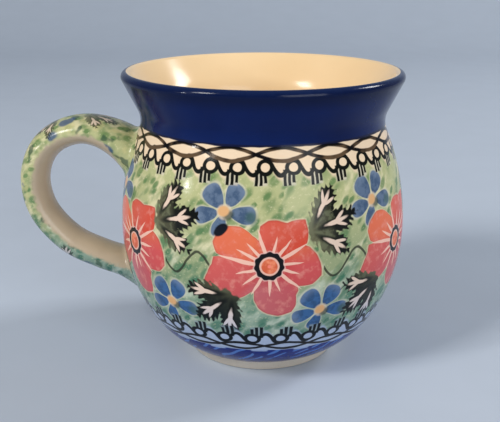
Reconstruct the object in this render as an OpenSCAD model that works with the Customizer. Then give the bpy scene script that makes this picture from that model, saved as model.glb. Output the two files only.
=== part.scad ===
// Round-bellied stoneware mug with a flared collar, a foot ring and a strap handle.
// The clay wall is one revolved form. The handle is a separate strap, luted on with two
// pads of slip, and every glaze coat is its own thin layer lying face to face on the clay.
// Origin: on the mug's axis, in the plane that the foot stands on. +Z is up, the handle
// points along -X. Every outside size is taken over the glaze.

/* [Mug] */
// Height from the foot to the top of the lip
mug_h = 88; // [86:0.5:92]
// Thickness of the clay wall
wall = 4; // [3.5:0.1:4.5]
// Thickness of the clay floor
floor_t = 4.8; // [4:0.2:6]

/* [Collar] */
// Outside diameter of the lip
rim_d = 84.4; // [82:0.2:87]
// Thickness of the rounded lip
lip_t = 3.2; // [2.8:0.1:3.6]
// Diameter of the neck, where the collar springs from the belly
neck_d = 73.8; // [72:0.2:76]
// Height of the neck
neck_z = 73.5; // [72:0.5:75]
// Radius of the hollow round the neck
neck_round = 8; // [6:0.5:9]
// Height of the line where the collar's colour stops
collar_z = 73; // [72:0.2:75]

/* [Belly] */
// Largest diameter of the belly
belly_d = 87.4; // [86:0.2:90]
// Height of the largest diameter
belly_z = 41; // [40:0.5:43]
// Radius of the arc from the belly down to the heel
bottom_round = 51.5; // [50:0.5:54]
// Height at which the heel's tighter arc takes over
heel_z = 14; // [12:0.5:15]
// Radius of the heel
heel_round = 30; // [28:0.5:33]

/* [Foot] */
// Outside diameter of the foot ring on the table
foot_d = 45.6; // [44:0.2:48]
// Height of the bare foot, from the table to the edge of the glaze
foot_h = 4.2; // [3.8:0.1:4.8]
// Width of the foot ring's land
foot_w = 4; // [3.5:0.1:5]
// Depth of the recess inside the foot ring
recess_h = 1.8; // [1.4:0.1:2.4]

/* [Handle] */
// Thickness of the strap in the grip
grip_t = 8.8; // [8:0.2:9.6]
// Width of the strap in the grip
grip_w = 13.4; // [12:0.2:15]
// Thickness of the strap at its upper root
root_t = 16.6; // [15:0.2:17]
// Width of the strap at its upper root
root_w = 24; // [21:0.5:25]
// Thickness of the strap at its lower root
tail_t = 15; // [13:0.2:16]
// Width of the strap at its lower root
tail_w = 18; // [16:0.5:20]

/* [Glaze and slip] */
// Thickness of each glaze coat
glaze_t = 0.3; // [0.2:0.05:0.4]
// Thickness of the slip under each end of the handle
slip_t = 1; // [0.6:0.1:1.2]

/* [Hidden] */
$fn = 180;

rim_r = rim_d / 2;
belly_r = belly_d / 2;
foot_r = foot_d / 2;
// The recess narrows a little towards its ceiling.
recess_draft = 0.6;
foot_in_r = foot_r - foot_w;
recess_r = foot_in_r - recess_draft;
// The coat on the recess stops short of the ring's inner wall.
base_glaze_gap = 1;

// The lip is a full round. Its centre:
lip_r = lip_t / 2;
lip_c = [rim_r - lip_r, mug_h - lip_r];
// The hollow of the neck is an arc about this centre.
neck_c = [neck_d / 2 + neck_round, neck_z];

// The shoulder's arc starts upright at the belly and runs into the neck's arc.
neck_in = belly_r - neck_d / 2;
neck_rise = neck_z - belly_z;
shoulder_round = (pow(neck_rise, 2) + pow(neck_round - neck_in, 2) - pow(neck_round, 2))
    / (2 * neck_in);
shoulder_c = [belly_r - shoulder_round, belly_z];
shoulder_turn = atan2(neck_rise, neck_c[0] - shoulder_c[0]);
bottom_c = [belly_r - bottom_round, belly_z];
// The heel's arc goes on from the bottom's arc without a corner.
heel_turn = asin((belly_z - heel_z) / bottom_round);
heel_c = bottom_c + (bottom_round - heel_round) * [cos(heel_turn), -sin(heel_turn)];

// Depths below the glazed outer face: of the clay's outer and inner faces, and of the
// glaze inside the mug.
clay_out = glaze_t;
clay_in = clay_out + wall;
glaze_in = clay_in + glaze_t;

// Lean of a straight flare, from upright, that touches the neck's arc and the lip. side is
// the sum of the two radii, each counted towards the outside of the mug.
function lean(side) = asin(side / norm(lip_c - neck_c))
    - atan2(neck_c[0] - lip_c[0], lip_c[1] - neck_c[1]);
lean_out = lean(neck_round + lip_r);
lean_in = lean(neck_round + glaze_in - lip_r);
// Where the collar's colour stops, as an angle round the neck's arc.
collar_turn = asin((neck_z - collar_z) / neck_round);

// Points of an arc, and how many stretches each arc of the wall is drawn in.
function arc(c, r, from, to, steps) = [
    for (i = [0:steps]) let (t = from + (to - from) * i / steps) c + r * [cos(t), sin(t)]
];
function but_first(p) = [for (i = [1:len(p) - 1]) p[i]];
function but_last(p) = [for (i = [0:len(p) - 2]) p[i]];
function backwards(p) = [for (i = [len(p) - 1:-1:0]) p[i]];
heel_steps = 6;
bottom_steps = 8;
shoulder_steps = 7;
neck_steps = 6;
lip_steps = 6;

// The wall's outline runs from the foot to the crest of the lip on faces that lie depth
// below the outer glazed face: up the belly to the collar's edge, and on over the lip.
function rise_line(depth, low_z, neck_to) = concat(
    arc(heel_c, heel_round - depth,
        -asin((heel_c[1] - low_z) / (heel_round - depth)), -heel_turn, heel_steps),
    but_first(arc(bottom_c, bottom_round - depth, -heel_turn, 0, bottom_steps)),
    but_first(arc(shoulder_c, shoulder_round - depth, 0, shoulder_turn, shoulder_steps)),
    but_first(arc(neck_c, neck_round + depth, 180 + shoulder_turn, neck_to, neck_steps))
);
function belly_line(depth) = rise_line(depth, foot_h, 180 + collar_turn);
function collar_line(depth) = concat(
    arc(neck_c, neck_round + depth, 180 + collar_turn, 180 - lean_out, neck_steps),
    arc(lip_c, lip_r - depth, -lean_out, 90, lip_steps)
);
// Inside, the line runs from the axis across the floor and up to the same crest.
function floor_z(depth) = recess_h + floor_t + depth - clay_in;
function inside_line(depth) = concat(
    [[0, floor_z(depth)]],
    rise_line(depth, floor_z(depth), 180 - lean_in),
    arc(lip_c, lip_r - glaze_in + depth, 180 - lean_in, 90, lip_steps)
);

// The handle's middle line, as distance from the axis and height, and where the line
// enters the clay at each end.
HANDLE_LINE = [
    [31, 54], [42, 65], [52, 69.4], [61, 68.2], [67.8, 62.8], [70.8, 53.6],
    [68.6, 43.2], [60.8, 34], [51, 29], [42.4, 26], [33, 21.5]
];
handle_steps = 4;
handle_sides = 20;
// Shares of the line over which the strap swells towards its roots.
root_swell_t = 0.25;
root_swell_w = 0.5;
tail_swell_t = 0.15;
tail_swell_w = 0.25;
// Slip squeezed out round each end of the strap, and the share of the line at which the
// strap comes out of the wall.
slip_out = 1;
surface_share = 0.07;
// Length of a block that reaches through the wall at a slant.
block_run = 24;
block_steps = 8;

// Smooth curve through the points of p, as places and directions at steps per stretch.
function spline_point(p, i, t) =
    let (
        a = i == 0 ? 2 * p[0] - p[1] : p[i - 1],
        b = p[i],
        c = p[i + 1],
        d = i + 2 > len(p) - 1 ? 2 * c - b : p[i + 2]
    )
    (2 * b + (c - a) * t + (2 * a - 5 * b + 4 * c - d) * pow(t, 2)
        + (3 * b - a - 3 * c + d) * pow(t, 3)) / 2;
function spline(p, steps) = [
    for (i = [0:len(p) - 2], s = [0:steps - 1]) spline_point(p, i, s / steps),
    p[len(p) - 1]
];
function swell(share, span) = pow(max(0, 1 - share / span), 2);
function strap_t(s) = grip_t + (root_t - grip_t) * swell(s, root_swell_t)
    + (tail_t - grip_t) * swell(1 - s, tail_swell_t);
function strap_w(s) = grip_w + (root_w - grip_w) * swell(s, root_swell_w)
    + (tail_w - grip_w) * swell(1 - s, tail_swell_w);

// One rounded section of the strap: c is its centre, n the outward normal of the line.
function strap_ring(c, n, half_w, half_t) = [
    for (k = [0:handle_sides - 1])
        let (a = 360 * k / handle_sides, q = c + n * half_t * sin(a))
        [-q[0], half_w * cos(a), q[1]]
];

// The strap from end to end, with every face moved in by depth.
module strap(depth) {
    line = spline(HANDLE_LINE, handle_steps);
    last = len(line) - 1;
    rings = [
        for (i = [0:last])
            let (
                d = line[min(i + 1, last)] - line[max(i - 1, 0)],
                n = [-d[1], d[0]] / norm(d),
                s = i / last
            )
            each strap_ring(line[i], n, strap_w(s) / 2 - depth, strap_t(s) / 2 - depth)
    ];
    sides = [
        for (i = [0:last - 1], k = [0:handle_sides - 1])
            let (
                a = i * handle_sides + k,
                b = i * handle_sides + (k + 1) % handle_sides
            )
            each [[a, b, b + handle_sides], [a, b + handle_sides, a + handle_sides]]
    ];
    caps = [
        [for (k = [handle_sides - 1:-1:0]) k],
        [for (k = [0:handle_sides - 1]) last * handle_sides + k]
    ];
    polyhedron(points = rings, faces = concat(sides, caps), convexity = 4);
}

// A layer of the wall between two faces of the same outline.
module layer(outer, inner) {
    rotate_extrude() polygon(concat(outer, backwards(inner)));
}

// The belly as a full solid, for trimming what is luted to it.
module belly_solid(depth) {
    line = belly_line(depth);
    rotate_extrude() polygon(concat([[0, foot_h]], line, [[0, line[len(line) - 1][1]]]));
}

// A straight block of slip round one end of the strap, before the belly trims it. It runs
// along the line from one point towards the next, at share s of the strap.
module slip_block(from, to, s) {
    run = to - from;
    r = strap_t(s) / 2 + slip_out;
    side = strap_w(s) / 2 + slip_out - r;
    translate([-from[0], 0, from[1]])
        rotate([0, -atan2(run[0], run[1]), 0])
            linear_extrude(height = block_run)
                polygon(concat(
                    arc([0, side], r, 0, 180, block_steps),
                    arc([0, -side], r, 180, 360, block_steps)
                ));
}

module upper_slip_block() {
    slip_block(HANDLE_LINE[0], HANDLE_LINE[1], surface_share);
}

module lower_slip_block() {
    last = len(HANDLE_LINE) - 1;
    slip_block(HANDLE_LINE[last], HANDLE_LINE[last - 1], 1 - surface_share);
}

// The slip between the clay wall and one end of the strap.
module slip_pad() {
    difference() {
        intersection() {
            belly_solid(clay_out - slip_t);
            children();
        }
        belly_solid(clay_out);
    }
}

module clay_body() {
    foot = [[0, recess_h], [recess_r, recess_h], [foot_in_r, 0], [foot_r, 0]];
    outside = concat(foot, belly_line(clay_out), but_first(collar_line(clay_out)));
    color("#c9b49a") layer(outside, but_last(inside_line(clay_in)));
}

module clay_handle() {
    color("#c9b49a") {
        difference() {
            strap(clay_out);
            belly_solid(clay_out - slip_t);
        }
    }
}

module upper_handle_joint() {
    color("#b9a184") slip_pad() upper_slip_block();
}

module lower_handle_joint() {
    color("#b9a184") slip_pad() lower_slip_block();
}

module inner_glaze() {
    color("#ecd6a8") layer(inside_line(glaze_in), inside_line(clay_in));
}

module rim_glaze() {
    color("#16225a") layer(collar_line(0), collar_line(clay_out));
}

module belly_glaze() {
    color("#b9c48f") {
        difference() {
            layer(belly_line(0), belly_line(clay_out));
            upper_slip_block();
            lower_slip_block();
        }
    }
}

module handle_glaze() {
    color("#a9b878") {
        difference() {
            strap(0);
            strap(clay_out);
            belly_solid(clay_out - slip_t);
        }
    }
}

module base_glaze() {
    color("#ecd6a8") {
        translate([0, 0, recess_h - glaze_t])
            cylinder(r = recess_r - base_glaze_gap, h = glaze_t);
    }
}

clay_body();
clay_handle();
upper_handle_joint();
lower_handle_joint();
inner_glaze();
rim_glaze();
belly_glaze();
handle_glaze();
base_glaze();
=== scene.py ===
"""Looks for the stoneware mug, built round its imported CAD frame.

The solids here are lathed and swept from the same arcs as the CAD model, only finer, and
the decoration is drawn by shader nodes in a flat chart of the wall: degrees round the mug
from the side that faces the camera, and millimetres of arc up the wall from the glaze's
lower edge.
"""

import math

import bpy
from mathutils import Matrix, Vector


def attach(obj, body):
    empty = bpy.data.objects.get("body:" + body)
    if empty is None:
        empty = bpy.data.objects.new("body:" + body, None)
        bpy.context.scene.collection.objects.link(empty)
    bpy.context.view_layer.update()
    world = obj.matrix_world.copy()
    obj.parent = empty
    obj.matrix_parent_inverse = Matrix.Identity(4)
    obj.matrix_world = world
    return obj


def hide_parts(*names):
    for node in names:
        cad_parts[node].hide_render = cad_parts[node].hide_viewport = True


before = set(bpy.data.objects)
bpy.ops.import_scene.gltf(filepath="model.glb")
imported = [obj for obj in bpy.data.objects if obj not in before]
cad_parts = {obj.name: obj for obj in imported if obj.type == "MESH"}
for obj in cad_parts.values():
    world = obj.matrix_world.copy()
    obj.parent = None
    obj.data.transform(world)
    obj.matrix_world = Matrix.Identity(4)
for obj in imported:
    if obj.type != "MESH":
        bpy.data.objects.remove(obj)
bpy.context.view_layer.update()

MM = 0.001

# ---------------------------------------------------------------- the wall's outline, mm
MUG_H = 88.0
WALL = 4.0
FLOOR_T = 4.8
RIM_R = 42.2
LIP_R = 1.6
NECK_R = 36.9
NECK_Z = 73.5
NECK_ROUND = 8.0
COLLAR_Z = 73.0
BELLY_R = 43.7
BELLY_Z = 41.0
BOTTOM_ROUND = 51.5
HEEL_Z = 14.0
HEEL_ROUND = 30.0
FOOT_R = 22.8
FOOT_H = 4.2
FOOT_W = 4.0
RECESS_H = 1.8
RECESS_DRAFT = 0.6
BASE_GLAZE_GAP = 1.0
GLAZE = 0.3
CLAY_IN = GLAZE + WALL
GLAZE_IN = CLAY_IN + GLAZE

LIP_C = (RIM_R - LIP_R, MUG_H - LIP_R)
NECK_C = (NECK_R + NECK_ROUND, NECK_Z)
NECK_IN = BELLY_R - NECK_R
NECK_RISE = NECK_Z - BELLY_Z
SHOULDER_ROUND = (NECK_RISE**2 + (NECK_ROUND - NECK_IN) ** 2 - NECK_ROUND**2) / (2 * NECK_IN)
SHOULDER_C = (BELLY_R - SHOULDER_ROUND, BELLY_Z)
SHOULDER_TURN = math.atan2(NECK_RISE, NECK_C[0] - SHOULDER_C[0])
BOTTOM_C = (BELLY_R - BOTTOM_ROUND, BELLY_Z)
HEEL_TURN = math.asin((BELLY_Z - HEEL_Z) / BOTTOM_ROUND)
HEEL_C = (
    BOTTOM_C[0] + (BOTTOM_ROUND - HEEL_ROUND) * math.cos(HEEL_TURN),
    BOTTOM_C[1] - (BOTTOM_ROUND - HEEL_ROUND) * math.sin(HEEL_TURN),
)
COLLAR_TURN = math.asin((NECK_Z - COLLAR_Z) / NECK_ROUND)

# ---------------------------------------------------------------- fineness of the meshes
SPIN_STEPS = 288
HEEL_STEPS = 20
WALL_STEPS = 28
NECK_STEPS = 8
COLLAR_STEPS = 10
LIP_STEPS = 14
EDGE_STEPS = 6
CORNER_POINTS = 12
CUP_CORNER_R = 3.0
FOOT_EDGE_R = 0.5
STRAIGHT_BEND = 0.3


def lean(side):
    """Lean of the straight flare that touches the neck's arc and the lip."""
    run, rise = NECK_C[0] - LIP_C[0], LIP_C[1] - NECK_C[1]
    return math.asin(side / math.hypot(run, rise)) - math.atan2(run, rise)


LEAN_OUT = lean(NECK_ROUND + LIP_R)
LEAN_IN = lean(NECK_ROUND + GLAZE_IN - LIP_R)


def arc(centre, r, start, end, steps):
    """Points of a circle from one angle to another, in radians."""
    turns = [start + (end - start) * i / steps for i in range(steps + 1)]
    return [(centre[0] + r * math.cos(t), centre[1] + r * math.sin(t)) for t in turns]


def rise_line(depth, low_z, neck_to):
    """The wall's face at a depth below the glaze, from height low_z up into the neck."""
    heel_r = HEEL_ROUND - depth
    start = -math.asin((HEEL_C[1] - low_z) / heel_r)
    return (
        arc(HEEL_C, heel_r, start, -HEEL_TURN, HEEL_STEPS)
        + arc(BOTTOM_C, BOTTOM_ROUND - depth, -HEEL_TURN, 0, WALL_STEPS)[1:]
        + arc(SHOULDER_C, SHOULDER_ROUND - depth, 0, SHOULDER_TURN, WALL_STEPS)[1:]
        + arc(NECK_C, NECK_ROUND + depth, math.pi + SHOULDER_TURN, neck_to, NECK_STEPS)[1:]
    )


def belly_line(depth):
    """The painted wall, from its lower edge up to the collar."""
    return rise_line(depth, FOOT_H, math.pi + COLLAR_TURN)


def collar_line(depth):
    """The collar's outer face, from the belly's glaze up to the top of the lip."""
    low, high = math.pi + COLLAR_TURN, math.pi - LEAN_OUT
    neck = arc(NECK_C, NECK_ROUND + depth, low, high, COLLAR_STEPS)
    return neck + arc(LIP_C, LIP_R - depth, -LEAN_OUT, math.pi / 2, LIP_STEPS)


def inside_line(depth):
    """The cup's face, from the middle of the floor up to the top of the lip."""
    floor = RECESS_H + FLOOR_T + depth - CLAY_IN
    wall = rise_line(depth, floor, math.pi - LEAN_IN)
    corner = rounded([(0.0, floor)] + wall[:CORNER_POINTS], CUP_CORNER_R)
    lip = arc(LIP_C, LIP_R - GLAZE_IN + depth, math.pi - LEAN_IN, math.pi / 2, LIP_STEPS)
    return corner + wall[CORNER_POINTS:] + lip


def rounded(points, radius, steps=6):
    """The open line through points, with each sharp corner of it turned into an arc."""
    out = [points[0]]
    for before, corner, after in zip(points, points[1:], points[2:]):
        back = Vector(before) - Vector(corner)
        on = Vector(after) - Vector(corner)
        bend = math.pi - back.angle(on)
        if bend < STRAIGHT_BEND:
            out.append(corner)
            continue
        reach = min(radius * math.tan(bend / 2), 0.45 * back.length, 0.9 * on.length)
        a = Vector(corner) + back.normalized() * reach
        b = Vector(corner) + on.normalized() * reach
        for i in range(steps + 1):
            t = i / steps
            q = a * (1 - t) ** 2 + Vector(corner) * (2 * t * (1 - t)) + b * t**2
            out.append((q.x, q.y))
    out.append(points[-1])
    return out


# ---------------------------------------------------------------- meshes
def mesh_object(name, verts, faces, values=None, sharp=35):
    """A mesh piece from points in mm. values holds extra numbers per point, by name."""
    mesh = bpy.data.meshes.new(name)
    mesh.from_pydata([tuple(c * MM for c in v) for v in verts], [], faces)
    for key, numbers in (values or {}).items():
        mesh.attributes.new(key, "FLOAT", "POINT").data.foreach_set("value", numbers)
    mesh.polygons.foreach_set("use_smooth", [True] * len(mesh.polygons))
    mesh.set_sharp_from_angle(angle=math.radians(sharp))
    mesh.validate()
    piece = bpy.data.objects.new(name, mesh)
    bpy.context.collection.objects.link(piece)
    return piece


def lathe(name, outline, closed=True):
    """Spins an outline round the Z axis. The value called arc is the distance along it."""
    verts, faces, along = [], [], []
    rings = []
    run = 0.0
    for i, (r, z) in enumerate(outline):
        if i:
            run += math.hypot(r - outline[i - 1][0], z - outline[i - 1][1])
        count = 1 if r < 1e-6 else SPIN_STEPS
        rings.append(range(len(verts), len(verts) + count))
        for k in range(count):
            t = 2 * math.pi * k / SPIN_STEPS
            verts.append((r * math.cos(t), r * math.sin(t), z))
            along.append(run)
    pairs = list(zip(rings, rings[1:]))
    if closed:
        pairs.append((rings[-1], rings[0]))
    for a, b in pairs:
        for k in range(SPIN_STEPS):
            n = (k + 1) % SPIN_STEPS
            quad = [a[k % len(a)], a[n % len(a)], b[n % len(b)], b[k % len(b)]]
            face = list(dict.fromkeys(quad))
            if len(face) > 2:
                faces.append(face)
    return mesh_object(name, verts, faces, {"arc": along})


def glaze_edge(line_at):
    """The round of a glaze coat's lower edge, as points of the line at growing depths."""
    turns = [math.pi / 2 * i / EDGE_STEPS for i in range(1, EDGE_STEPS)]
    return [line_at(GLAZE * (1 - math.sin(t)))[0] for t in turns]


# ---------------------------------------------------------------- handle
HANDLE_LINE = [
    (31, 54), (42, 65), (52, 69.4), (61, 68.2), (67.8, 62.8), (70.8, 53.6),
    (68.6, 43.2), (60.8, 34), (51, 29), (42.4, 26), (33, 21.5),
]
# Thickness T and width W of the strap's section: at the grip, at the root under the neck and
# at the tail. It swells towards the root and the tail over these shares of the line.
GRIP_T, GRIP_W = 8.75, 13.4
ROOT_T, ROOT_W = 16.6, 24.0
TAIL_T, TAIL_W = 15.0, 18.0
ROOT_SWELL_T, ROOT_SWELL_W = 0.25, 0.5
TAIL_SWELL_T, TAIL_SWELL_W = 0.15, 0.25
HANDLE_SIDES = 64
HANDLE_RINGS = 110
BLEND_RINGS = 12
# Fillet round each end: its reach on both faces, and the height it must not climb past.
BLEND = 2.2
BLEND_TOP_Z = 72.6
BLEND_LEAST = 0.8
BLEND_FOOT_IN = 0.04
BLEND_CREEP = 0.0005
# The sponged colour goes right round the strap at its root, and fades over this share.
ROOT_GREEN = 0.9
ROOT_GREEN_SPAN = 0.08

# Shares of the handle's line between which its face comes out of the wall, inner one first.
UPPER_SEAM, LOWER_SEAM = (0.02, 0.3), (0.98, 0.75)
# Depth of a seam's inner face under the belly's glazed face, and its share of the section.
SEAM_IN = 1.2
SEAM_SHARE = 0.9


def spline(u):
    """Point of the handle's middle line at share u, as distance from the axis and height."""
    p = [Vector(q) for q in HANDLE_LINE]
    at = min(max(u, 0.0), 1.0) * (len(p) - 1)
    i = min(int(at), len(p) - 2)
    t = at - i
    a = p[i - 1] if i else 2 * p[0] - p[1]
    d = p[i + 2] if i + 2 < len(p) else 2 * p[i + 1] - p[i]
    b, c = p[i], p[i + 1]
    return (
        2 * b + (c - a) * t + (2 * a - 5 * b + 4 * c - d) * t**2 + (3 * b - a - 3 * c + d) * t**3
    ) / 2


def swell(share, span):
    """How far the section has swollen towards its size at the end, 1 there and 0 at span."""
    return max(0.0, 1 - share / span) ** 2


def strap_point(u, turn):
    """Point of the handle's glazed face at share u of its line, turned round its section."""
    step = 0.002
    run = spline(u + step) - spline(u - step)
    out = Vector((-run.y, run.x)).normalized()
    half_t = (
        GRIP_T
        + (ROOT_T - GRIP_T) * swell(u, ROOT_SWELL_T)
        + (TAIL_T - GRIP_T) * swell(1 - u, TAIL_SWELL_T)
    ) / 2
    half_w = (
        GRIP_W
        + (ROOT_W - GRIP_W) * swell(u, ROOT_SWELL_W)
        + (TAIL_W - GRIP_W) * swell(1 - u, TAIL_SWELL_W)
    ) / 2
    q = spline(u) + out * half_t * math.sin(turn)
    return Vector((-q.x, half_w * math.cos(turn), q.y))


def clearance(p):
    """Distance of a point from the belly's glazed face, positive outside it."""
    r, z = math.hypot(p.x, p.y), p.z
    if z > SHOULDER_C[1] + SHOULDER_ROUND * math.sin(SHOULDER_TURN):
        return NECK_ROUND - math.hypot(r - NECK_C[0], z - NECK_C[1])
    if z > BELLY_Z:
        return math.hypot(r - SHOULDER_C[0], z - SHOULDER_C[1]) - SHOULDER_ROUND
    return math.hypot(r - BOTTOM_C[0], z - BOTTOM_C[1]) - BOTTOM_ROUND


def outward(p):
    """The belly's normal at a point."""
    e = 0.01
    slope = [
        clearance(p + Vector(d) * e) - clearance(p - Vector(d) * e)
        for d in ((1, 0, 0), (0, 1, 0), (0, 0, 1))
    ]
    return Vector(slope).normalized()


def settle(p, depth):
    """Moves a point onto the face that lies depth below the belly's glaze."""
    for _ in range(4):
        p = p - outward(p) * (clearance(p) + depth)
    return p


def crossing(turn, inner, outer):
    """Share of the line at which the handle's face comes out of the belly."""
    for _ in range(40):
        middle = (inner + outer) / 2
        if clearance(strap_point(middle, turn)) > 0:
            outer = middle
        else:
            inner = middle
    return outer


def root_blend(turn, share, away):
    """The slip-smoothed fillet from the belly up to the handle, and where it lands."""
    q = strap_point(share, turn)
    middle = spline(share)
    side = q - Vector((-middle.x, 0, middle.y))
    normal = outward(q)
    along = (side - normal * side.dot(normal)).normalized()
    reach = BLEND
    if along.z > 0:
        reach = min(BLEND, max(BLEND_LEAST, (BLEND_TOP_Z - q.z) / max(along.z, 0.3)))
    foot = settle(q + along * reach, BLEND_FOOT_IN)
    top = share
    while (strap_point(top, turn) - q).length < BLEND:
        top += away
    a = strap_point(top, turn)
    points = []
    for i in range(BLEND_RINGS):
        t = i / BLEND_RINGS
        points.append(foot * (1 - t) ** 2 + q * (2 * t * (1 - t)) + a * t**2)
    return points, top


def make_handle():
    """The handle's glazed strap. The value share runs along it, and side is 1 on its back."""
    verts, faces, shares, sides = [], [], [], []
    count = 2 * BLEND_RINGS + HANDLE_RINGS + 1
    for k in range(HANDLE_SIDES):
        turn = 2 * math.pi * k / HANDLE_SIDES
        first = crossing(turn, *UPPER_SEAM)
        last = crossing(turn, *LOWER_SEAM)
        low, start = root_blend(turn, first, BLEND_CREEP)
        high, end = root_blend(turn, last, -BLEND_CREEP)
        body = [
            strap_point(start + (end - start) * i / HANDLE_RINGS, turn)
            for i in range(HANDLE_RINGS + 1)
        ]
        column = low + body + high[::-1]
        for i, p in enumerate(column):
            verts.append(tuple(p))
            share = (i - BLEND_RINGS) / HANDLE_RINGS
            shares.append(first + (last - first) * min(max(share, 0.0), 1.0))
            sides.append(math.sin(turn) + ROOT_GREEN * max(0.0, 1 - share / ROOT_GREEN_SPAN))
    for k in range(HANDLE_SIDES):
        a, b = k * count, (k + 1) % HANDLE_SIDES * count
        for i in range(count - 1):
            faces.append([a + i, a + i + 1, b + i + 1, b + i])
    faces.append([k * count for k in range(HANDLE_SIDES)])
    faces.append([k * count + count - 1 for k in range(HANDLE_SIDES)][::-1])
    return mesh_object("handle_glaze_coat", verts, faces, {"share": shares, "side": sides}, 60)


def slip_seam(name, span):
    """The pad of slip between the wall and the handle's end, hidden under the glaze."""
    verts, faces = [], []
    for k in range(HANDLE_SIDES):
        turn = 2 * math.pi * k / HANDLE_SIDES
        share = crossing(turn, *span)
        edge, axis = strap_point(share, turn), spline(share)
        inner = Vector((-axis.x, 0, axis.y)).lerp(edge, SEAM_SHARE)
        for depth in (GLAZE, SEAM_IN):
            verts.append(tuple(settle(inner, depth)))
    for k in range(HANDLE_SIDES):
        a, b = 2 * k, 2 * ((k + 1) % HANDLE_SIDES)
        faces.append([a, a + 1, b + 1, b])
    faces.append([2 * k for k in range(HANDLE_SIDES)])
    faces.append([2 * k + 1 for k in range(HANDLE_SIDES)][::-1])
    return mesh_object(name, verts, faces)


# ---------------------------------------------------------------- node arithmetic
def linear(rgb):
    """Linear colour from the 0-255 values of a screen colour."""
    out = [((c / 255 + 0.055) / 1.055) ** 2.4 if c > 10 else c / 255 / 12.92 for c in rgb]
    return (*out, 1.0)


class Value:
    """A number in a node tree. Arithmetic on it adds Math nodes."""

    def __init__(self, paint, socket):
        self.paint, self.socket = paint, socket

    def math(self, kind, *others):
        return self.paint.math(kind, self, *others)

    def __add__(self, other):
        return self.math("ADD", other)

    __radd__ = __add__

    def __sub__(self, other):
        return self.math("SUBTRACT", other)

    def __rsub__(self, other):
        return self.paint.math("SUBTRACT", other, self)

    def __mul__(self, other):
        return self.math("MULTIPLY", other)

    __rmul__ = __mul__

    def __truediv__(self, other):
        return self.math("DIVIDE", other)

    def __abs__(self):
        return self.math("ABSOLUTE")

    def sin(self):
        return self.math("SINE")

    def low(self, other):
        return self.math("MINIMUM", other)

    def high(self, other):
        return self.math("MAXIMUM", other)

    def below(self, other):
        return self.math("LESS_THAN", other)

    def wrap(self, centre, period):
        """Distance from the nearest of the points centre + n * period."""
        return (self - (centre - period / 2)).math("FLOORED_MODULO", period) - period / 2


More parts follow.
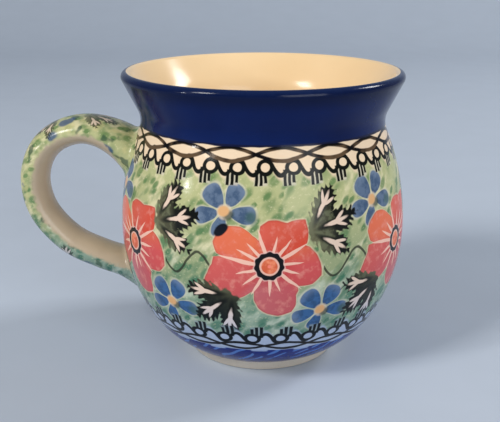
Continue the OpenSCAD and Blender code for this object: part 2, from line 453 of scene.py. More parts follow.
class Paint:
    """A material and short ways to add nodes to it."""

    def __init__(self, name):
        self.material = bpy.data.materials.new(name)
        self.material.use_nodes = True
        self.tree = self.material.node_tree
        self.shader = self.tree.nodes["Principled BSDF"]
        self.place = self.add("ShaderNodeTexCoord").outputs["Object"]

    def add(self, kind, **settings):
        node = self.tree.nodes.new(kind)
        for key, value in settings.items():
            setattr(node, key, value)
        return node

    def feed(self, socket, value):
        if isinstance(value, Value):
            value = value.socket
        if isinstance(value, bpy.types.NodeSocket):
            self.tree.links.new(value, socket)
        else:
            socket.default_value = value

    def math(self, kind, *values):
        node = self.add("ShaderNodeMath", operation=kind)
        for socket, value in zip(node.inputs, values):
            self.feed(socket, value)
        return Value(self, node.outputs[0])

    def attribute(self, name):
        node = self.add("ShaderNodeAttribute", attribute_name=name)
        return Value(self, node.outputs["Fac"])

    def split(self, vector):
        node = self.add("ShaderNodeSeparateXYZ")
        self.feed(node.inputs[0], vector)
        return [Value(self, out) for out in node.outputs]

    def join(self, x, y, z=0.0):
        node = self.add("ShaderNodeCombineXYZ")
        for socket, value in zip(node.inputs, (x, y, z)):
            self.feed(socket, value)
        return node.outputs[0]

    def local(self, vector, at, half, turn):
        """Coordinates in a frame that is placed, turned (degrees) and scaled in the chart."""
        node = self.add("ShaderNodeMapping", vector_type="TEXTURE")
        self.feed(node.inputs["Vector"], vector)
        node.inputs["Location"].default_value = (at[0], at[1], 0)
        node.inputs["Rotation"].default_value = (0, 0, math.radians(turn))
        node.inputs["Scale"].default_value = (half[0], half[1], 1)
        return node.outputs[0]

    def length(self, vector):
        node = self.add("ShaderNodeVectorMath", operation="LENGTH")
        self.feed(node.inputs[0], vector)
        return Value(self, node.outputs["Value"])

    def ramp_value(self, value, low, high, start=0.0, end=1.0):
        """Eases from start to end as value goes from low to high, and stays there."""
        node = self.add("ShaderNodeMapRange", interpolation_type="SMOOTHSTEP", clamp=True)
        self.feed(node.inputs["Value"], value)
        limits = {"From Min": low, "From Max": high, "To Min": start, "To Max": end}
        for key, number in limits.items():
            self.feed(node.inputs[key], number)
        return Value(self, node.outputs["Result"])

    def inside(self, distance, edge=0.0, soft=0.12):
        """1 where distance is less than edge, 0 where it is more."""
        return self.ramp_value(distance, edge - soft, edge + soft, 1.0, 0.0)

    def oval(self, vector, at, half, turn=0.0, soft=0.12):
        """Mask of an ellipse in the chart."""
        blur = soft / min(half)
        return self.inside(self.length(self.local(vector, at, half, turn)), 1.0, blur)

    def look_up(self, value, stops, kind):
        """A colour looked up in (place 0-1, linear colour) stops, of which 32 fit."""
        node = self.add("ShaderNodeValToRGB")
        node.color_ramp.interpolation = kind
        points = node.color_ramp.elements
        for i, (place, colour) in enumerate(stops):
            point = points[i] if i < len(points) else points.new(place)
            point.position = place
            point.color = colour
        self.feed(node.inputs["Fac"], value)
        return node.outputs["Color"]

    def curve(self, value, stops):
        """A number looked up in a line through (place 0-1, number 0-1) stops."""
        greys = [(place, (number, number, number, 1)) for place, number in stops]
        return Value(self, self.look_up(value, greys, "LINEAR"))

    def tint(self, value, stops, kind="EASE"):
        """A colour looked up in a line through (place 0-1, screen colour) stops."""
        return self.look_up(value, [(place, linear(rgb)) for place, rgb in stops], kind)

    def mix(self, below, above, share):
        """Paints one colour over another. A colour is a socket or a screen colour."""
        node = self.add("ShaderNodeMix", data_type="RGBA")
        self.feed(node.inputs["Factor"], share)
        for key, colour in (("A", below), ("B", above)):
            socket = [s for s in node.inputs if s.name == key and s.type == "RGBA"][0]
            self.feed(socket, linear(colour) if isinstance(colour, tuple) else colour)
        return [s for s in node.outputs if s.type == "RGBA"][0]

    def noise(self, seed, scale, detail=2.0, rough=0.5, vector=None):
        """A noise node with lumps of about 1/scale metres, in the piece's own coordinates."""
        node = self.add("ShaderNodeTexNoise", noise_dimensions="4D")
        self.feed(node.inputs["Vector"], self.place if vector is None else vector)
        node.inputs["W"].default_value = seed
        node.inputs["Scale"].default_value = scale
        node.inputs["Detail"].default_value = detail
        node.inputs["Roughness"].default_value = rough
        return node

    def grain(self, seed, scale, detail=2.0, rough=0.5, vector=None):
        """The noise as one number, 0.5 on average."""
        return Value(self, self.noise(seed, scale, detail, rough, vector).outputs["Fac"])

    def bump(self, height, distance, strength):
        """Relief of the glaze's face, distance in metres."""
        node = self.add("ShaderNodeBump")
        self.feed(node.inputs["Height"], height)
        node.inputs["Distance"].default_value = distance
        node.inputs["Strength"].default_value = strength
        self.tree.links.new(node.outputs[0], self.shader.inputs["Normal"])

    def finish(self, colour, roughness, gloss=0.3):
        """Ends the material. gloss is the specular level."""
        self.feed(self.shader.inputs["Base Color"], colour)
        self.feed(self.shader.inputs["Roughness"], roughness)
        self.shader.inputs["Specular IOR Level"].default_value = gloss
        return self.material


# ---------------------------------------------------------------- colours, 0-255 on screen
CREAM = (236, 214, 178)
LACE_CREAM = (234, 208, 176)
LACE_PALE = (164, 178, 204)
INK = (14, 18, 14)
LOW_INK = (2, 12, 20)
BROWN_INK = (92, 72, 52)
SLIT_CREAM = (226, 200, 180)
SLIT_PALE = (186, 192, 210)
CLAY_DARK, CLAY_LIGHT = (200, 188, 172), (222, 210, 194)
SLIP_DARK, SLIP_LIGHT = (176, 152, 122), (196, 172, 142)
FLOOR_DARK, FLOOR_LIGHT = (180, 190, 204), (186, 196, 210)

# Colours of the sponged ground, by height 0-1 up the wall.
GROUND_WARM = [
    (0.0, (122, 148, 146)), (0.36, (132, 156, 138)), (0.55, (152, 162, 122)),
    (0.8, (178, 180, 130)),
]
GROUND_PALE = [(0.0, (172, 188, 192)), (0.45, (186, 196, 174)), (0.7, (214, 206, 164))]
GROUND_DEEP = [
    (0.0, (44, 96, 98)), (0.45, (62, 114, 90)), (0.7, (76, 118, 74)), (0.9, (100, 130, 78)),
]
SPONGE_LEAN = 14.0


def sheared(p, squash, shift=0.0):
    """The piece's coordinates, leaning round the mug with height, for slanted dabs."""
    height = p.split(p.place)[2]
    turned = p.add("ShaderNodeVectorRotate", rotation_type="Z_AXIS")
    p.feed(turned.inputs["Vector"], p.place)
    p.feed(turned.inputs["Angle"], height * -SPONGE_LEAN)
    placed = p.add("ShaderNodeMapping", vector_type="POINT")
    p.feed(placed.inputs["Vector"], turned.outputs[0])
    placed.inputs["Location"].default_value = (shift, shift, shift)
    placed.inputs["Scale"].default_value = (1, 1, squash)
    return placed.outputs[0]


def dabs(p, vector, scale, share, edge=0.4):
    """Mask of separate sponge dabs, kept in the given share of the cells."""
    cells = p.add("ShaderNodeTexVoronoi")
    p.feed(cells.inputs["Vector"], vector)
    cells.inputs["Scale"].default_value = scale
    near = Value(p, cells.outputs["Distance"])
    skipped = 1 - p.split(cells.outputs["Color"])[0].below(share)
    return p.inside(near + skipped, edge, 0.13)


def sponge_ground(p, height):
    """The sponged ground: yellow green above, blue green below, with cream and green dabs."""
    slanted = sheared(p, 0.75)
    green = p.tint(height, GROUND_DEEP)
    patch = p.grain(3, 150, 3, 0.6, slanted)
    pale = p.ramp_value(patch, 0.5, 0.64, 0, 0.9)
    base = p.mix(p.tint(height, GROUND_WARM), p.tint(height, GROUND_PALE), pale)
    wash = p.grain(12, 240, 2, 0.5, slanted)
    base = p.mix(base, green, p.ramp_value(wash, 0.48, 0.68, 0, 0.6))
    base = p.mix(base, green, dabs(p, slanted, 255, 0.6) * 0.75)
    base = p.mix(base, green, dabs(p, sheared(p, 0.85, 0.3), 360, 0.5, 0.36) * 0.85)
    specks = p.grain(5, 1500, 2)
    return p.mix(base, (238, 226, 186), p.ramp_value(specks, 0.56, 0.76, 0, 0.4))


# Red flower: its outline, cut in two where a ramp is full, and the tips of its rays, as
# (degrees round its centre from +x, millimetres from it).
RED_CUT = 227
RED_OUTLINE = [
    (0, 14.2), (12, 13.3), (24, 12.1), (29, 11.2), (31, 12.0), (42, 14.2), (51, 15.9),
    (60, 14.3), (68, 12.8), (78, 12.7), (92, 12.4), (103, 11.4), (107, 9.2), (111, 7.6),
    (118, 9.6), (126, 13.3), (136, 15.6), (148, 16.8), (158, 16.7), (168, 14.6),
    (170, 12.4), (172, 15.4), (180, 15.7), (189, 17.2), (196, 18.8), (203, 17.4),
    (216, 15.0), (RED_CUT, 13.6),
]
RED_OUTLINE_LOW = [
    (RED_CUT, 13.6), (233, 11.2), (239, 8.6), (242, 8.6), (248, 11.0), (257, 13.0),
    (268, 14.8), (280, 15.7), (294, 15.8), (302, 14.2), (310, 11.6), (318, 10.9),
    (322, 9.6), (326, 10.8), (334, 13.4), (346, 15.0), (360, 14.2),
]
RED_RAYS = [
    (5, 9.6), (30, 12.2), (50, 9.6), (76, 8.6), (107, 11.0), (133, 9.0), (152, 10.2),
    (170, 14.6), (195, 9.6), (217, 9.4), (240, 10.0), (271, 9.2), (292, 8.2), (322, 11.6),
    (343, 8.8),
]
RED_REACH = 20.0
RAY_START = 3.6
RAY_HALF = 6.5
# Colours round the petals, by share of the turn.
RED_PETALS = [
    (0.0, (204, 84, 84)), (0.07, (212, 98, 74)), (0.09, (206, 72, 52)), (0.19, (208, 88, 68)),
    (0.29, (210, 92, 76)), (0.33, (222, 112, 76)), (0.45, (220, 108, 78)),
    (0.48, (204, 92, 86)), (0.62, (192, 82, 84)), (0.67, (186, 100, 104)),
    (0.86, (190, 86, 92)), (0.9, (196, 80, 82)), (1.0, (204, 84, 84)),
]
RED_EYE_SCALLOPS = 11


def around(p, turn, before, after, cut):
    """Millimetres looked up round a flower, from two lists of stops that meet at cut degrees."""
    share = cut / 360
    before = [(a / cut, r / RED_REACH) for a, r in before]
    after = [((a - cut) / (360 - cut), r / RED_REACH) for a, r in after]
    first = turn.below(share)
    low = p.curve(turn / share, before) * first
    high = p.curve((turn - share) / (1 - share), after) * (1 - first)
    return (low + high) * RED_REACH


def red_flower(p, chart, base, mottle):
    """Paints the large five-petalled flower."""
    x, y, _ = p.split(chart)
    radius = p.length(chart)
    turn = y.math("ARCTAN2", x) / (2 * math.pi)
    turn = turn.math("FLOORED_MODULO", 1.0)
    edge = around(p, turn, RED_OUTLINE, RED_OUTLINE_LOW, RED_CUT)
    petal = p.tint(turn, RED_PETALS, "LINEAR")
    deep = p.mix(petal, (176, 44, 44), p.ramp_value(radius + mottle * 5.0, 11.0, 4.5, 0, 0.55))
    pale = p.mix(deep, (224, 150, 136), p.ramp_value(mottle, 0.48, 0.7, 0, 0.5))
    red = p.mix(pale, (150, 52, 50), p.ramp_value(edge - radius, 0.7, 0.05, 0, 0.35))
    base = p.mix(base, (226, 200, 168), p.inside(radius - edge, 0.4, 0.3) * 0.55)
    base = p.mix(base, red, p.inside(radius - edge, 0.0, 0.16))
    spikes = []
    for angle, reach in RED_RAYS:
        spikes += [(angle - RAY_HALF, RAY_START), (angle, reach), (angle + RAY_HALF, RAY_START)]
    # The first ray starts below 0 degrees, so its first stop moves up its flank to 0.
    angle, reach = RED_RAYS[0]
    spikes[0] = (0.0, RAY_START + (reach - RAY_START) * (RAY_HALF - angle) / RAY_HALF)
    before, after = [s for s in spikes if s[0] < 180], [s for s in spikes if s[0] >= 180]
    ray = around(p, turn, before, after, 180)
    base = p.mix(base, (238, 196, 176), p.inside(radius - ray, 0.0, 0.25) * 0.85)
    # The eye: pale halo, scalloped black ring, pale ring, orange centre.
    lobes = (turn * (2 * math.pi * RED_EYE_SCALLOPS)).sin() * 0.16
    base = p.mix(base, (222, 184, 176), p.inside(radius + lobes, 4.25, 0.2) * 0.7)
    base = p.mix(base, (16, 16, 20), p.inside(radius + lobes, 3.95, 0.12))
    base = p.mix(base, (228, 178, 160), p.inside(radius, 2.65, 0.12))
    heart = p.mix((204, 92, 60), (232, 136, 100), p.ramp_value(mottle, 0.4, 0.62))
    base = p.mix(base, heart, p.inside(radius, 2.15, 0.15))
    return p.mix(base, (238, 130, 110), p.inside(radius, 0.5, 0.2))


# Petals of the blue flower and lobes of the leaf: degrees of turn, then millimetres from the
# centre to the petal's middle, half its length and half its width.
BLUE_PETALS = [
    (130, 4.9, 3.5, 2.9), (60, 5.1, 3.3, 2.6), (-7, 5.2, 3.7, 2.4), (-106, 4.3, 3.1, 2.1),
    (193, 5.4, 3.5, 2.3),
]
BLUE_BY_HEIGHT = [(0.0, (44, 86, 138)), (0.42, (58, 98, 146)), (0.7, (94, 112, 136))]


def blue_flower(p, chart, base, height, mottle):
    """Paints the small five-petalled flower."""
    blue = p.tint(height, BLUE_BY_HEIGHT)
    blue = p.mix(blue, (40, 66, 98), p.ramp_value(mottle, 0.42, 0.6, 0, 0.6))
    radius = p.length(chart)
    blue = p.mix(blue, (122, 138, 160), p.ramp_value(radius, 5.5, 8.5, 0, 0.5))
    petals = None
    for turn, far, half_l, half_w in BLUE_PETALS:
        at = (far * math.cos(math.radians(turn)), far * math.sin(math.radians(turn)))
        along, across, _ = p.split(p.local(chart, at, (half_l, half_w), turn))
        across = across * (1.06 - along * 0.38)
        d = p.math("SQRT", along * along + across * across)
        petals = d if petals is None else petals.low(d)
    base = p.mix(base, (206, 200, 184), p.inside(petals, 1.15, 0.1) * 0.5)
    base = p.mix(base, blue, p.inside(petals, 1.0, 0.06))
    base = p.mix(base, (46, 84, 66), p.oval(chart, (7.6, -1.2), (1.7, 1.5), 0, 0.8) * 0.6)
    base = p.mix(base, (216, 198, 174), p.inside(radius, 2.1, 0.35) * 0.7)
    base = p.mix(base, (52, 66, 56), p.oval(chart, (1.3, -0.9), (1.5, 1.2), 40, 0.5) * 0.8)
    return p.mix(base, (218, 168, 118), p.oval(chart, (-0.3, 0.2), (1.6, 1.4), 20, 0.35))


LEAF_LOBES = [(46, 8.2, 5.6, 3.2), (2, 8.6, 6.0, 3.3), (-40, 7.8, 5.6, 3.0)]
LEAF_TOOTH = 2.0
LEAF_DARK = [
    (0.0, (100, 96, 72)), (0.3, (74, 74, 56)), (0.5, (20, 22, 18)), (1.0, (10, 14, 12)),
]
LEAF_REACH = 16.0
# Slits along a lobe: degrees off its line, then millimetres from the leaf's foot to the
# slit's inner end, half its length and half its width.
SLITS = ((0, 5.1, 3.3, 0.58), (30, 7.8, 1.9, 0.42), (-30, 7.8, 1.9, 0.42))


def leaf(p, chart, base, height, ragged, mottle):
    """Paints the three-lobed toothed leaf with pale slits."""
    dark, slits = None, None
    for turn, far, half_l, half_w in LEAF_LOBES:
        c, s = math.cos(math.radians(turn)), math.sin(math.radians(turn))
        near = p.local(chart, (far * c, far * s), (half_l, half_w), turn)
        along, across, _ = p.split(near)
        barbs = (along * half_l - abs(across) * half_w * 0.9) * (2 * math.pi / LEAF_TOOTH)
        d = p.length(near) + barbs.sin() * 0.13
        dark = d if dark is None else dark.low(d)
        for tilt, root, half, thick in SLITS:
            a = math.radians(turn + tilt)
            at = (root * c + half * math.cos(a), root * s + half * math.sin(a))
            v = p.length(p.local(chart, at, (half, thick), turn + tilt))
            slits = v if slits is None else slits.low(v)
    heart = p.length(p.local(chart, (4.2, 0.0), (4.8, 4.6), 0))
    dark = dark.low(heart) + ragged * 0.9
    out = p.split(chart)[0]
    leafy = p.tint(out / LEAF_REACH, LEAF_DARK)
    leafy = p.mix(leafy, (112, 116, 88), p.ramp_value(mottle + out * -0.02, 0.36, 0.52, 0, 0.6))
    cool = p.tint(height, [(0.2, (8, 28, 34)), (0.5, (20, 24, 22))])
    leafy = p.mix(leafy, cool, p.ramp_value(height, 0.52, 0.42, 0, 0.9))
    base = p.mix(base, leafy, p.inside(dark, 1.0, 0.1))
    rim = p.inside(slits, 1.9, 0.5) * p.inside(dark, 0.95, 0.1) * 0.85
    base = p.mix(base, (10, 14, 12), rim)
    slit = p.tint(height, [(0.2, SLIT_PALE), (0.5, SLIT_CREAM)])
    return p.mix(base, slit, p.inside(slits + ragged * 0.6, 1.1, 0.25))


# One repeat of the lace band, in chart millimetres. A bar is (middle, foot, top).
LACE_STEP = 8.32
WAVE_UP = 2.0
LACE_BARS = ((-2.7, -4.9, -0.6), (-1.35, -4.8, -1.6), (-0.05, -4.1, -1.6))
BAR_HALF = 0.46
RING_R, RING_HALF = 1.9, 0.62
HEM_HALF = 0.6
CHAIN_Y, CHAIN_HALF = 3.45, 0.56


def lace(p, x, y, swing, height, patchy, base):
    """Paints the lace band. x and y are millimetres from a ring's centre, y towards the
    band's straight edge, and swing is the lens chain's half height there."""
    ink = p.tint(height, [(0.3, LOW_INK), (0.6, INK)])
    fill = p.tint(height, [(0.3, LACE_PALE), (0.6, LACE_CREAM)])
    phase = (x - 0.4) * (2 * math.pi / LACE_STEP)
    wave = phase.math("COSINE") * WAVE_UP - 0.05
    slope = phase.sin() * (WAVE_UP * 2 * math.pi / LACE_STEP)
    stretch = p.math("SQRT", slope * slope + 1.0)
    base = p.mix(base, fill, p.inside(wave - y, 1.3, 0.9) * p.inside(y, 5.6, 0.2))
    # Bars under the ring, the longest on the left.
    bars = None
    for at, foot, top in LACE_BARS:
        side = abs(x - at) - BAR_HALF
        ends = (y * -1.0 + foot).high(y - top)
        d = side.high(ends)
        bars = d if bars is None else bars.low(d)
    gap = p.tint(height, [(0.3, (136, 152, 160)), (0.6, (206, 196, 176))])
    between = p.inside(abs(x + 1.5), 1.9, 0.4) * p.inside(abs(y + 3.2), 1.6, 0.4)
    base = p.mix(base, gap, between * 0.8)
    ring = p.math("SQRT", x * x * 0.92 + y * y * 1.3)
    hoop = abs(ring - RING_R) - RING_HALF
    hem = abs(y - wave) / stretch - HEM_HALF
    drawn = bars.low(hoop).low(hem)
    base = p.mix(base, ink, p.inside(drawn, 0.0, 0.14))
    base = p.mix(base, fill, p.inside(ring, 1.32, 0.14))
    chain = abs(abs(y - CHAIN_Y) - swing) - CHAIN_HALF
    brown = p.tint(height, [(0.3, (10, 14, 22)), (0.6, BROWN_INK)])
    blackened = patchy.high(p.ramp_value(swing, 1.0, 0.2)).high(p.ramp_value(y, 4.3, 5.0))
    brown = p.mix(brown, (8, 8, 12), blackened)
    return p.mix(base, brown, p.inside(chain, 0.0, 0.16))


CHART = 0.763  # chart millimetres per degree round the mug
CELL = 60.0  # degrees after which the flowers and leaves come again
WALL_ARC = 76.0  # length of the painted wall, from its lower edge up
# Places of the stamps as (degrees round the mug, millimetres up the wall). The blue flowers
# and the leaves stand in an upper and a lower row, which part at ROWS_PART.
TENDRIL_AT, TENDRIL_HALF = (32.2, 42.6), 9.8
TENDRIL_STEP, TENDRIL_SWING = 18.6 * math.pi / 180, 3.5
RED_AT = (2.6, 43.4)
BLUE_HIGH, BLUE_LOW = (-13.8, 57.9), (22.9, 28.6)
LEAF_HIGH, LEAF_LOW = (17.2, 52.4), (-10.6, 34.4)
LEAF_HIGH_TURN, LEAF_LOW_TURN = 12.0, 216.0
ROWS_PART = 41.5
BUD_AT = (-14.8, 53.0)
# Lace bands: place of a ring, rings round the mug, and lenses round the mug.
TOP_RING_AT, TOP_RINGS, TOP_LENSES = (1.2, 69.8), 33, 17
LOW_RING_AT, LOW_RINGS, LOW_LENSES = (8.1, 18.6), 30, 18
LOW_RING_SQUEEZE = 0.91
TOP_LENS_HALF, LOW_LENS_HALF = 1.75, 1.4
BANDS_PART = 32.0
SEA_TOP = 14.2
GLAZE_BUMP = 0.00003
DARK_GLOSS = 0.16


def swinging(angle, start, count):
    """0 to 1 and back, count times round the mug, with a top at start degrees."""
    return abs(((angle - start) * (math.pi * count / 360)).math("COSINE"))


def row(p, angle, up, upper, high, low):
    """Millimetres from the nearest stamp of a kind, in the row that upper picks."""
    lower = 1 - upper
    x = angle.wrap(high[0], CELL) * upper + angle.wrap(low[0], CELL) * lower
    return p.join(x * CHART, up - (upper * high[1] + lower * low[1]))


def belly_material():
    """The painted glaze: sponged ground, tendrils, flowers, leaves, sea and lace bands."""
    p = Paint("painted_stoneware_glaze")
    x, y, _ = p.split(p.place)
    angle = x.math("ARCTAN2", y * -1.0) * (180 / math.pi)
    up = p.attribute("arc")
    height = up / WALL_ARC
    wobble = p.split(p.noise(1, 260, 1).outputs["Color"])
    angle = angle + (wobble[0] - 0.5) * 0.9
    up = up + (wobble[1] - 0.5) * 0.7
    mottle = p.grain(9, 420, 3, 0.6)
    ragged = p.grain(15, 560, 1.5)
    colour = sponge_ground(p, height)

    # Tendrils, in two gentle bends.
    run = angle.wrap(TENDRIL_AT[0], CELL)
    bend = (run + 5.4) * TENDRIL_STEP
    slope = 1.0 + abs(bend.sin()) * 0.8
    line = TENDRIL_AT[1] - bend.math("COSINE") * TENDRIL_SWING
    stroke = (abs(up - line) - slope * 0.32).high(abs(run) - TENDRIL_HALF)
    colour = p.mix(colour, (48, 50, 40), p.inside(stroke, 0.0, 0.18) * 0.9)

    # Blue flowers and leaves: an upper and a lower row share one drawing each.
    upper = 1 - up.below(ROWS_PART)
    spin = p.add("ShaderNodeVectorRotate", rotation_type="Z_AXIS")
    p.feed(spin.inputs["Vector"], row(p, angle, up, upper, LEAF_HIGH, LEAF_LOW))
    leaf_turn = upper * LEAF_HIGH_TURN + (1 - upper) * LEAF_LOW_TURN
    p.feed(spin.inputs["Angle"], leaf_turn * (-math.pi / 180))
    red_chart = p.join(angle.wrap(RED_AT[0], CELL) * CHART, up - RED_AT[1])
    blue_chart = row(p, angle, up, upper, BLUE_HIGH, BLUE_LOW)

    colour = blue_flower(p, blue_chart, colour, height, mottle)
    colour = red_flower(p, red_chart, colour, mottle)
    colour = leaf(p, spin.outputs[0], colour, height, ragged - 0.5, mottle)
    # One bud stamped over a blue petal, on the front only.
    bud = p.oval(p.join(angle * CHART, up), (BUD_AT[0] * CHART, BUD_AT[1]), (2.4, 1.3), 40, 0.2)
    colour = p.mix(colour, (16, 18, 28), bud)

    # Lace bands: the lower one is the upper one's stamp turned upside down.
    low_band = up.below(BANDS_PART)
    top_band = 1 - low_band
    top_x = angle.wrap(TOP_RING_AT[0], 360 / TOP_RINGS)
    low_x = angle.wrap(LOW_RING_AT[0], 360 / LOW_RINGS) * LOW_RING_SQUEEZE
    ring_x = top_x * top_band - low_x * low_band
    ring_y = (up - TOP_RING_AT[1]) * top_band + (LOW_RING_AT[1] - up) * low_band
    top_swing = swinging(angle, 8.0, TOP_LENSES) * TOP_LENS_HALF
    low_swing = swinging(angle, 11.3, LOW_LENSES) * LOW_LENS_HALF
    swing = top_swing * top_band + low_swing * low_band
    # Cobalt band with brushed pale waves at the very bottom.
    strokes = (angle * 0.7 - up * 1.5 + p.grain(21, 95, 1, 0.4) * 17.0).sin()
    comb = strokes * p.ramp_value(p.grain(27, 190, 1, 0.4), 0.36, 0.5)
    sea = p.mix((0, 16, 88), (0, 40, 132), mottle)
    pale = p.ramp_value(comb, 0.35, 0.9, 0, 0.75) * p.ramp_value(up, 3.0, 7.0, 0.4, 1.0)
    sea = p.mix(sea, (84, 132, 208), pale)
    colour = p.mix(colour, sea, p.inside(up + wobble[2] * 1.2, SEA_TOP, 0.3))
    crest = swinging(angle, -1.0, LOW_LENSES)
    crest = crest * p.ramp_value(up, 11.4, 12.4) * p.inside(up, 15.5, 0.6)
    colour = p.mix(colour, (152, 172, 208), p.ramp_value(crest, 0.78, 0.88) * 0.9)
    patchy = p.ramp_value(p.grain(18, 140, 2), 0.45, 0.6)
    colour = lace(p, ring_x * CHART, ring_y, swing, height, patchy, colour)
    colour = p.mix(colour, (4, 8, 30), p.inside(up, 0.9, 0.35))
    colour = p.mix(colour, (14, 20, 52), p.ramp_value(up, 75.0, 75.3))

    pits = p.grain(31, 1100, 2)
    p.bump(pits, GLAZE_BUMP, 0.6)
    return p.finish(colour, p.ramp_value(pits, 0.2, 0.8, 0.1, 0.2), DARK_GLOSS)


def collar_material():
    """Dark cobalt, darkest under the lip, that breaks to cream on the lip itself."""
    p = Paint("cobalt_glaze")
    up = p.attribute("arc")
    broad = p.grain(4, 60, 2)
    fine = p.grain(6, 800, 2)
    colour = p.mix((0, 14, 58), (2, 30, 88), broad)
    colour = p.mix(colour, (2, 10, 34), p.ramp_value(up, 9.0, 14.0, 0, 0.6))
    colour = p.mix(colour, (22, 38, 78), p.ramp_value(up + fine * 0.8, 14.8, 16.8, 0, 0.7))
    colour = p.mix(colour, CREAM, p.ramp_value(up + broad * 1.0, 18.35, 18.6))
    p.bump(fine, GLAZE_BUMP, 0.5)
    return p.finish(colour, p.ramp_value(fine, 0.2, 0.8, 0.1, 0.2), DARK_GLOSS)


def cream_material(name):
    """Cream glaze with faint throwing rings and brown specks."""
    p = Paint(name)
    broad = p.grain(2, 45, 3)
    fine = p.grain(8, 1600, 2)
    colour = p.mix((234, 202, 154), (244, 216, 174), broad)
    colour = p.mix(colour, (186, 158, 118), p.ramp_value(fine, 0.68, 0.78, 0, 0.4))
    z = p.split(p.place)[2]
    rings = (z * 900.0 + broad * 3.0).sin()
    p.bump(rings * 0.5 + broad, 0.00006, 0.35)
    return p.finish(colour, p.ramp_value(broad, 0.2, 0.8, 0.14, 0.22))


# Black stamps along the handle: (millimetres across, hundredths along), turn, size.
HANDLE_STAMPS = (
    ((-0.6, 20.5), 248, 0.58),
    ((-1.0, 29.0), 100, 0.5),
    ((0.0, 74.0), 240, 0.6),
)


def handle_material():
    """The sponged ground and a few leaves on the strap's back, and on its inner face a cream
    painted darker than the cup's cream glaze, as painted shade.
    """
    p = Paint("sponged_handle_glaze")
    share = p.attribute("share")
    side = p.attribute("side")
    _, y, z = p.split(p.place)
    broad = p.grain(3, 160, 2)
    mottle = p.grain(9, 420, 3, 0.6)
    height = p.ramp_value(z, 0.004, 0.073)
    ground = sponge_ground(p, height)
    extra = p.grain(41, 260, 1.5)
    ground = p.mix(ground, (44, 76, 58), p.ramp_value(extra, 0.57, 0.66, 0, 0.75))
    yellow = p.ramp_value(extra, 0.44, 0.34, 0, 0.5) * p.ramp_value(height, 0.5, 0.8)
    ground = p.mix(ground, (206, 196, 140), yellow)
    blue = p.ramp_value(p.grain(52, 120, 1), 0.62, 0.67, 0, 0.8)
    ground = p.mix(ground, (40, 74, 120), blue)
    # Painted shade: the inner face's cream is darker than the cup's cream glaze.
    cream = p.mix((176, 160, 136), (194, 176, 150), broad)
    colour = p.mix(cream, ground, p.ramp_value(side + (mottle - 0.5) * 0.7, -0.25, 0.05))
    chart = p.join(y * 1000.0, share * 100.0)
    ragged = p.grain(15, 560, 1.5)
    for at, turn, scale in HANDLE_STAMPS:
        spot = p.local(chart, at, (scale, scale), turn)
        marked = leaf(p, spot, colour, height, ragged - 0.5, mottle)
        colour = p.mix(colour, marked, p.ramp_value(side, 0.0, 0.25, 0, 0.8))
    pits = p.grain(31, 1100, 2)
    p.bump(pits, GLAZE_BUMP, 0.6)
    return p.finish(colour, p.ramp_value(pits, 0.2, 0.8, 0.14, 0.26))


def clay_material(name, low, high):
    """Bare fired clay with fine grog and tool marks, between two colours."""
    p = Paint(name)
    broad = p.grain(2, 90, 3)
    grog = p.grain(6, 2600, 3, 0.65)
    colour = p.mix(low, high, broad)
    colour = p.mix(colour, (142, 122, 102), p.ramp_value(grog, 0.6, 0.72, 0, 0.5))
    z = p.split(p.place)[2]
    tool = (z * 5200.0 + broad * 2.0).sin() * 0.25
    p.bump(grog + tool, 0.00008, 0.7)
    return p.finish(colour, p.ramp_value(grog, 0.2, 0.8, 0.62, 0.85))


# ---------------------------------------------------------------- pieces
def dress(piece, material, slot, *nodes):
    """Gives a piece its material and the body it rides, and hides the nodes it replaces. The
    slot is not used.
    """
    piece.data.materials.append(material)
    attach(piece, "root")
    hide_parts(*nodes)


def foot_line():
    """The clay's underside, from the axis out over the foot ring to the wall."""
    foot_in = FOOT_R - FOOT_W
    recess = foot_in - RECESS_DRAFT
    start = belly_line(GLAZE)[0]
    line = [(0.0, RECESS_H), (recess, RECESS_H), (foot_in, 0.0), (FOOT_R, 0.0), start]
    return rounded(line, FOOT_EDGE_R)[:-1]


def base_line():
    """The round of the base coat's edge, inside the foot ring."""
    r = FOOT_R - FOOT_W - RECESS_DRAFT - BASE_GLAZE_GAP
    turns = [math.pi / 2 * i / EDGE_STEPS for i in range(EDGE_STEPS + 1)]
    return [(r - GLAZE * (1 - math.sin(t)), RECESS_H - GLAZE * math.cos(t)) for t in turns]


belly_outline = glaze_edge(belly_line) + belly_line(0) + belly_line(GLAZE)[::-1]
belly = lathe("belly_glaze_coat", belly_outline)
dress(belly, belly_material(), "painted_glaze", "belly_glaze")

collar = lathe("collar_glaze_coat", collar_line(0) + collar_line(GLAZE)[::-1])
dress(collar, collar_material(), "cobalt_glaze", "rim_glaze")

lining_outline = inside_line(GLAZE_IN) + inside_line(CLAY_IN)[::-1]
lining = lathe("inner_glaze_coat", lining_outline, False)
dress(lining, cream_material("cream_glaze"), "cream_glaze", "inner_glaze")

outside = foot_line() + belly_line(GLAZE) + collar_line(GLAZE)[1:]
clay_wall = lathe("clay_wall", outside + inside_line(CLAY_IN)[::-1][1:], False)
clay = clay_material("bare_stoneware", CLAY_DARK, CLAY_LIGHT)
dress(clay_wall, clay, "bare_stoneware", "clay_body")

base_outline = [(0.0, RECESS_H - GLAZE)] + base_line() + [(0.0, RECESS_H)]
base = lathe("base_glaze_coat", base_outline, False)
dress(base, cream_material("base_glaze"), "cream_glaze", "base_glaze")

dress(make_handle(), handle_material(), "handle_glaze", "handle_glaze")

slip = clay_material("fired_slip", SLIP_DARK, SLIP_LIGHT)
dress(slip_seam("upper_slip_seam", UPPER_SEAM), slip, "slip", "upper_handle_joint")
dress(slip_seam("lower_slip_seam", LOWER_SEAM), slip, "slip", "lower_handle_joint")

# The handle's clay keeps its CAD form, under its glaze, and takes the clay's material.
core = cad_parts["clay_handle"]
core.data.materials.clear()
core.data.materials.append(clay)

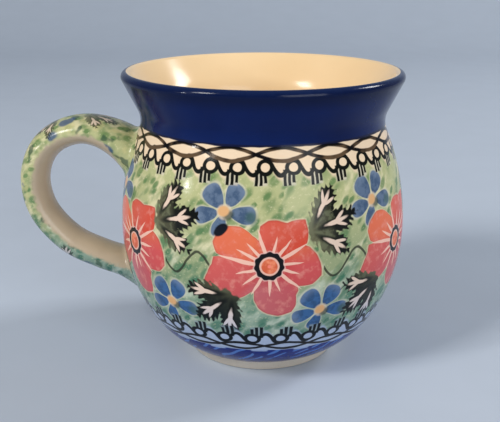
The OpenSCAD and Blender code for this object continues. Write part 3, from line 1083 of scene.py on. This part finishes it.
# ---------------------------------------------------------------- stage, lights, camera
# Sizes from here on are in metres.
CENTRE = (0, 0, 0.045)
FLOOR_HALF = 1.6
FLOOR_Z = -0.0002  # a hair under the foot ring, so that the faces don't coincide
SWEEP_Y = 0.75
SWEEP_R = 0.5
SWEEP_TOP = 1.8
SWEEP_STEPS = 24
WORLD_COLOUR = (0.92, 0.96, 1.0, 1)
WORLD_STRENGTH = 0.26
CAMERA_BACK = 0.250
CAMERA_UP = 0.122
CAMERA_TILT = 17.47
CAMERA_YAW = 0.88
CAMERA_LENS = 59.9
CAMERA_SENSOR = 36


def make_floor():
    """A plain floor that sweeps up behind the mug."""
    bend = arc((SWEEP_Y, SWEEP_R), SWEEP_R, -math.pi / 2, 0, SWEEP_STEPS)
    line = [(-FLOOR_HALF, 0.0)] + bend + [(SWEEP_Y + SWEEP_R, SWEEP_TOP)]
    sides = (-FLOOR_HALF / MM, FLOOR_HALF / MM)
    verts = [(x, y / MM, (z + FLOOR_Z) / MM) for y, z in line for x in sides]
    faces = [[2 * i, 2 * i + 1, 2 * i + 3, 2 * i + 2] for i in range(len(line) - 1)]
    floor = mesh_object("floor", verts, faces)
    p = Paint("floor_paper")
    colour = p.mix(FLOOR_DARK, FLOOR_LIGHT, p.grain(1, 40, 2))
    floor.data.materials.append(p.finish(colour, 0.9))


def area_light(name, at, size, watts, tint=(1, 1, 1)):
    """A rectangular lamp that points at the mug."""
    data = bpy.data.lights.new(name, "AREA")
    data.shape = "RECTANGLE"
    data.size, data.size_y = size
    data.energy = watts
    data.color = tint
    lamp = bpy.data.objects.new(name, data)
    lamp.location = at
    lamp.rotation_mode = "QUATERNION"
    lamp.rotation_quaternion = (Vector(CENTRE) - Vector(at)).to_track_quat("-Z", "Y")
    bpy.context.collection.objects.link(lamp)


def make_world():
    """A dim, even, slightly blue room light."""
    world = bpy.data.worlds.new("studio")
    world.use_nodes = True
    back = world.node_tree.nodes["Background"]
    back.inputs["Color"].default_value = WORLD_COLOUR
    back.inputs["Strength"].default_value = WORLD_STRENGTH
    bpy.context.scene.world = world


def make_camera():
    """The photograph's camera."""
    data = bpy.data.cameras.new("camera")
    data.sensor_width = CAMERA_SENSOR
    data.lens = CAMERA_LENS
    data.clip_start = 0.01
    camera = bpy.data.objects.new("camera", data)
    camera.location = (0, -CAMERA_BACK, CAMERA_UP)
    camera.rotation_euler = (math.radians(90 - CAMERA_TILT), 0, math.radians(CAMERA_YAW))
    bpy.context.collection.objects.link(camera)
    bpy.context.scene.camera = camera


make_floor()
make_world()
make_camera()
area_light("window", (-0.9, -0.7, 0.9), (0.3, 0.4), 12, (1, 0.97, 0.93))
area_light("fill", (0.7, -1.1, 0.4), (0.8, 0.8), 8, (0.94, 0.97, 1))
area_light("back", (1.0, 0.34, 0.8), (0.3, 0.3), 7)
area_light("lamp", (-1.04, -0.54, 0.3), (0.06, 0.06), 1.6)
bpy.context.scene.view_settings.view_transform = "Standard"
